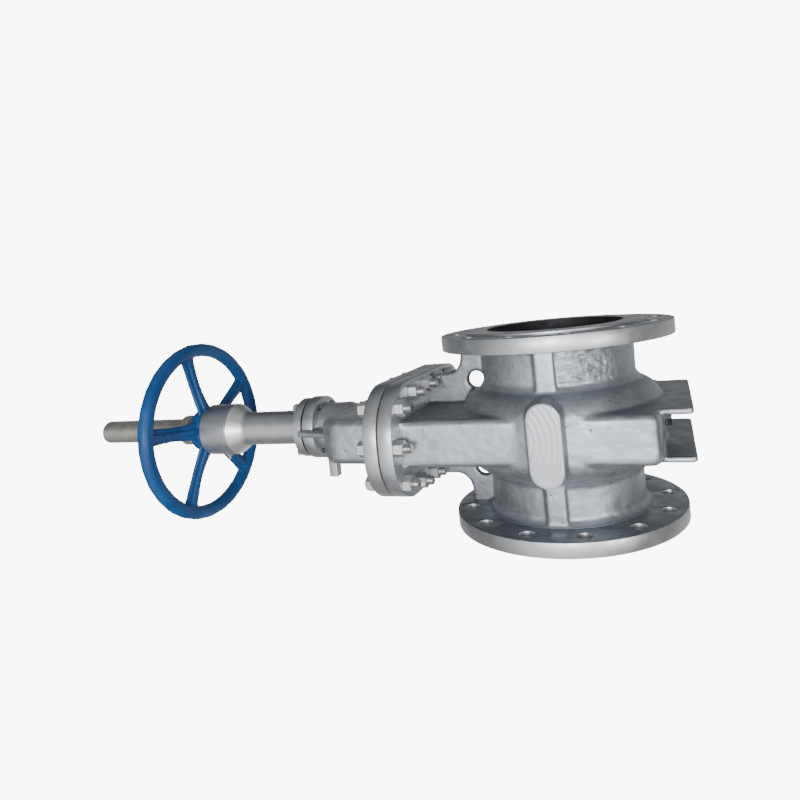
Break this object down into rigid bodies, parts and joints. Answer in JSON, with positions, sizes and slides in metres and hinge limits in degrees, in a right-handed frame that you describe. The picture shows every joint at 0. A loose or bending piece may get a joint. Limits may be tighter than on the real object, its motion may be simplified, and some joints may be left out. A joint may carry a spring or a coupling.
{
  "type": "gate valve",
  "caption": "Flanged slab gate valve with a bolted bonnet, an enclosed rising stem, a bearing column, a spoked handwheel and a tubular stem cover.",
  "frame": {"origin": "centre of the lower flange's raised face", "axes": "+Z along the flow axis, from the lower flange to the upper one; the stem runs along X at mid height, with the handwheel on the -X side"},
  "size_m": [1.064, 0.348, 0.3199],
  "materials": {
    "grey_paint": "satin silver-grey coating over sand-cast steel",
    "blue_paint": "semi-gloss blue coating over a cast wheel",
    "galvanised_tube": "dull zinc-coated tube",
    "plated_bolting": "zinc-plated, dull",
    "machined_steel": "fine turned",
    "stainless_stem": "polished",
    "plated_gate": "lapped and plated",
    "bronze": "turned bronze",
    "bearing_steel": "ground",
    "black_steel": "blackened, oily",
    "seat_plastic": "white fluoropolymer",
    "graphite": "pressed graphite",
    "seal_rubber": "black elastomer"
  },
  "bodies": {
    "valve": {"body": "grey_paint", "seat_ring_upper": "machined_steel", "seat_ring_lower": "machined_steel", "seat_insert_upper": "seat_plastic", "seat_insert_lower": "seat_plastic", "seat_seals": "seal_rubber", "seat_springs": "machined_steel", "bonnet": "grey_paint", "bonnet_gasket": "graphite", "bonnet_studs": "plated_bolting", "bonnet_nuts_body_side": "plated_bolting", "bonnet_nuts_bonnet_side": "plated_bolting", "backseat_bush": "machined_steel", "packing_rings": "graphite", "packing_gland": "black_steel", "column": "grey_paint", "column_bolts": "plated_bolting", "bearing_housing": "grey_paint", "housing_retainer": "machined_steel", "retainer_seal": "seal_rubber", "fixed_races": "bearing_steel", "grease_nipple": "plated_bolting", "vent_plug": "machined_steel", "drain_plug": "machined_steel"},
    "handwheel": {"handwheel": "blue_paint", "stem_nut": "bronze", "hub_key": "machined_steel", "lock_nut": "plated_bolting", "stem_cover": "galvanised_tube", "stem_cover_cap": "galvanised_tube", "turning_races": "bearing_steel", "bearing_balls": "bearing_steel", "bearing_cages": "bronze"},
    "gate": {"gate": "plated_gate", "stem": "stainless_stem", "gate_pin": "machined_steel"}
  },
  "joints": [
    {"name": "handwheel_turn", "type": "hinge", "parent": "valve", "child": "handwheel", "pos_m": [-0.656, 0, 0.146], "axis": [-1, 0, 0], "range_deg": [0, 12708]},
    {"name": "gate_lift", "type": "slide", "parent": "valve", "child": "gate", "axis": [-1, 0, 0], "range_m": [0, 0.212]}
  ],
  "couplings": [
    {"joint": "gate_lift", "follows": "handwheel_turn", "m_per_rad": 0.00095493}
  ]
}
